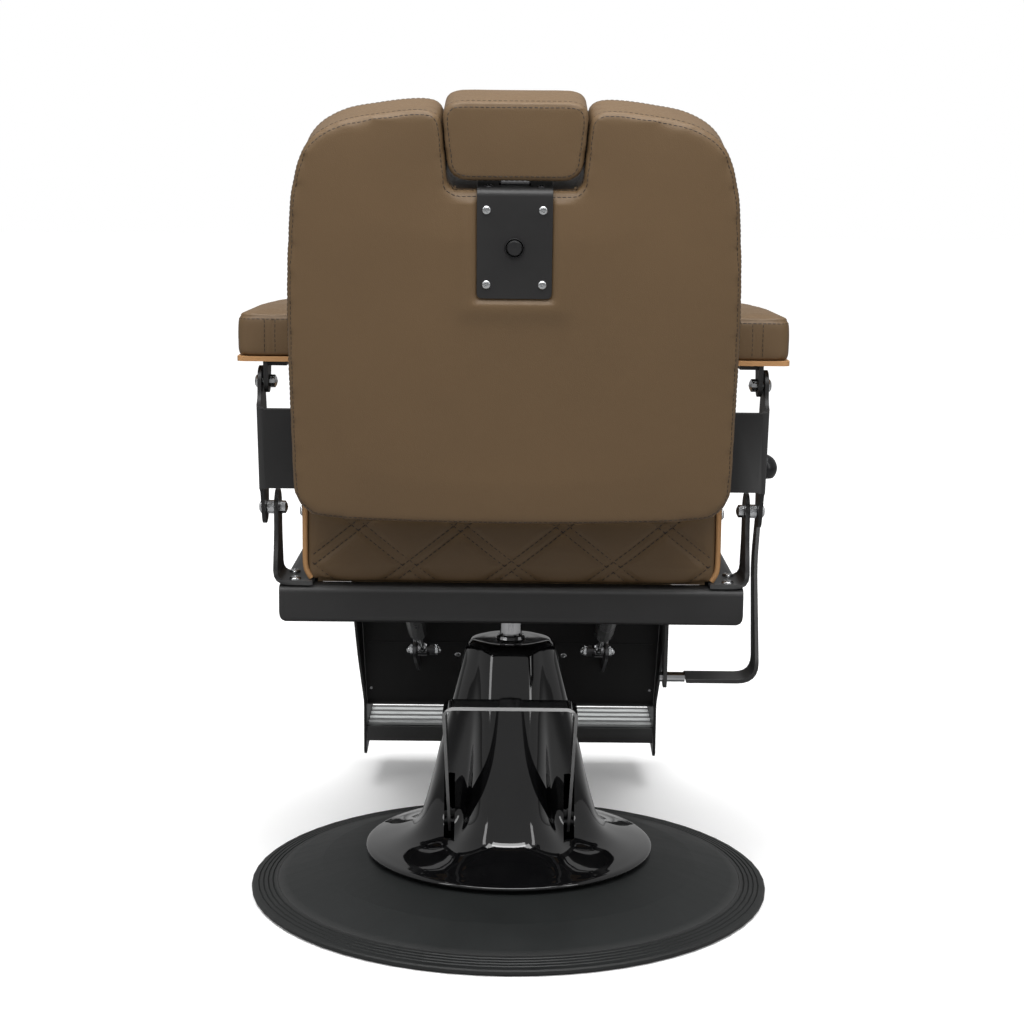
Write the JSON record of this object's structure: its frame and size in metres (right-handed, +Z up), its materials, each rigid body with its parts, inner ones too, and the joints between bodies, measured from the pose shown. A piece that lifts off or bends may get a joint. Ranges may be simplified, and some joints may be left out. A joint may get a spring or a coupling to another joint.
{
  "type": "hydraulic barber chair",
  "caption": "Barber chair with a round base and pump column, swivelling padded seat, reclining back, adjustable headrest, linked armrests and a lifting leg rest.",
  "frame": {"origin": "centre of the base's underside, on the floor", "axes": "+Z up the column, -Y the way the sitter faces, +X the sitter's left"},
  "size_m": [0.66, 1.0208, 0.9902],
  "materials": {
    "leather": "satin smooth upholstery leather",
    "tan_trim": "satin tan edging",
    "black_paint": "satin powder coat",
    "gloss_black": "high gloss paint",
    "matte_black": "matte textured paint",
    "rubber": "matte",
    "chrome": "polished",
    "steel": "bright plated",
    "tread": "ribbed, satin",
    "plywood": "raw",
    "plastic": "satin"
  },
  "bodies": {
    "base": {"base_plate": "matte_black", "base_rim": "rubber", "pump_cover": "gloss_black", "pump_cylinder": "steel", "ram_seal": "chrome"},
    "pedal": {"foot_pedal": "gloss_black"},
    "ram": {"ram": "chrome"},
    "seat": {"seat_hub": "black_paint", "rail_rear": "black_paint", "rail_front": "black_paint", "rail_left": "black_paint", "rail_right": "black_paint", "seat_board": "plywood", "seat_cushion": "leather", "upright_left": "black_paint", "upright_right": "black_paint", "front_bracket_left": "black_paint", "front_bracket_right": "black_paint", "recline_bolt_left": "steel", "recline_bolt_right": "steel", "link_bolt_left": "steel", "link_bolt_right": "steel", "leg_hinge_rod": "steel", "lever_hanger": "black_paint"},
    "back": {"back_cushion": "leather", "back_board": "plywood", "back_pad": "leather", "back_bracket_left": "black_paint", "back_bracket_right": "black_paint", "arm_bolt_left": "steel", "arm_bolt_right": "steel", "headrest_plate": "black_paint"},
    "headrest": {"headrest_cushion": "leather", "headrest_bar": "chrome"},
    "button": {"headrest_button": "plastic"},
    "leg_rest": {"leg_plate_left": "black_paint", "leg_plate_right": "black_paint", "leg_panel": "black_paint", "leg_lug_left": "steel", "leg_lug_right": "steel", "leg_pad": "leather", "tread": "tread", "tread_lip": "black_paint"},
    "lever": {"recline_lever": "black_paint", "lever_shaft": "chrome", "lever_knob": "plastic"},
    "armrest_left": {"arm_pad_left": "leather", "arm_board_left": "tan_trim", "arm_bracket_left": "black_paint", "arm_front_bolt_left": "steel"},
    "front_link_left": {"arm_link_left": "black_paint"},
    "tube_left": {"strut_tube_left": "plastic"},
    "rod_left": {"strut_rod_left": "chrome"},
    "armrest_right": {"arm_pad_right": "leather", "arm_board_right": "tan_trim", "arm_bracket_right": "black_paint", "arm_front_bolt_right": "steel"},
    "front_link_right": {"arm_link_right": "black_paint"},
    "tube_right": {"strut_tube_right": "plastic"},
    "rod_right": {"strut_rod_right": "chrome"}
  },
  "joints": [
    {"name": "column_lift", "type": "slide", "parent": "base", "child": "ram", "axis": [0, 0, 1], "range_m": [0, 0.15]},
    {"name": "seat_swivel", "type": "hinge", "parent": "ram", "child": "seat", "pos_m": [0, 0, 0.42], "axis": [0, 0, 1], "continuous": true},
    {"name": "pedal_press", "type": "hinge", "parent": "base", "child": "pedal", "pos_m": [0, 0.01, 0.085], "axis": [-1, 0, 0], "range_deg": [0, 20], "stiffness_Nm_per_rad": 8, "springref_deg": -34.38},
    {"name": "back_recline", "type": "hinge", "parent": "seat", "child": "back", "pos_m": [0, 0.235, 0.526], "axis": [-1, 0, 0], "range_deg": [0, 45]},
    {"name": "leg_lift", "type": "hinge", "parent": "seat", "child": "leg_rest", "pos_m": [0, -0.252, 0.384], "axis": [-1, 0, 0], "range_deg": [0, 45]},
    {"name": "headrest_height", "type": "slide", "parent": "back", "child": "headrest", "axis": [0, 0.1908, 0.9816], "range_m": [0, 0.07]},
    {"name": "button_press", "type": "slide", "parent": "back", "child": "button", "axis": [0, -0.9816, 0.1908], "range_m": [0, 0.003], "stiffness_N_per_m": 800, "springref_m": -0.004},
    {"name": "lever_pull", "type": "hinge", "parent": "seat", "child": "lever", "pos_m": [-0.18, 0.19, 0.32], "axis": [-1, 0, 0], "range_deg": [0, 15], "stiffness_Nm_per_rad": 6, "springref_deg": -28.65},
    {"name": "armrest_level_left", "type": "hinge", "parent": "back", "child": "armrest_left", "pos_m": [0.2755, 0.26362, 0.67324], "axis": [-1, 0, 0], "range_deg": [-45, 0]},
    {"name": "front_link_swing_left", "type": "hinge", "parent": "seat", "child": "front_link_left", "pos_m": [0.2825, -0.215, 0.45], "axis": [-1, 0, 0], "range_deg": [0, 45]},
    {"name": "tube_tilt_left", "type": "hinge", "parent": "seat", "child": "tube_left", "pos_m": [0.123, 0.07, 0.38], "axis": [-1, 0, 0], "range_deg": [0, 9.2]},
    {"name": "rod_swing_left", "type": "hinge", "parent": "leg_rest", "child": "rod_left", "pos_m": [0.123, -0.25, 0.25], "axis": [-1, 0, 0], "range_deg": [-36, 0]},
    {"name": "armrest_level_right", "type": "hinge", "parent": "back", "child": "armrest_right", "pos_m": [-0.2755, 0.26362, 0.67324], "axis": [-1, 0, 0], "range_deg": [-45, 0]},
    {"name": "front_link_swing_right", "type": "hinge", "parent": "seat", "child": "front_link_right", "pos_m": [-0.2825, -0.215, 0.45], "axis": [-1, 0, 0], "range_deg": [0, 45]},
    {"name": "tube_tilt_right", "type": "hinge", "parent": "seat", "child": "tube_right", "pos_m": [-0.123, 0.07, 0.38], "axis": [-1, 0, 0], "range_deg": [0, 9.2]},
    {"name": "rod_swing_right", "type": "hinge", "parent": "leg_rest", "child": "rod_right", "pos_m": [-0.123, -0.25, 0.25], "axis": [-1, 0, 0], "range_deg": [-36, 0]}
  ],
  "couplings": [
    {"joint": "leg_lift", "follows": "back_recline", "ratio": 1},
    {"joint": "armrest_level_left", "follows": "back_recline", "ratio": -1},
    {"joint": "front_link_swing_left", "follows": "back_recline", "ratio": 1},
    {"joint": "tube_tilt_left", "follows": "back_recline", "ratio": 0.203},
    {"joint": "rod_swing_left", "follows": "back_recline", "ratio": -0.797},
    {"joint": "armrest_level_right", "follows": "back_recline", "ratio": -1},
    {"joint": "front_link_swing_right", "follows": "back_recline", "ratio": 1},
    {"joint": "tube_tilt_right", "follows": "back_recline", "ratio": 0.203},
    {"joint": "rod_swing_right", "follows": "back_recline", "ratio": -0.797}
  ]
}
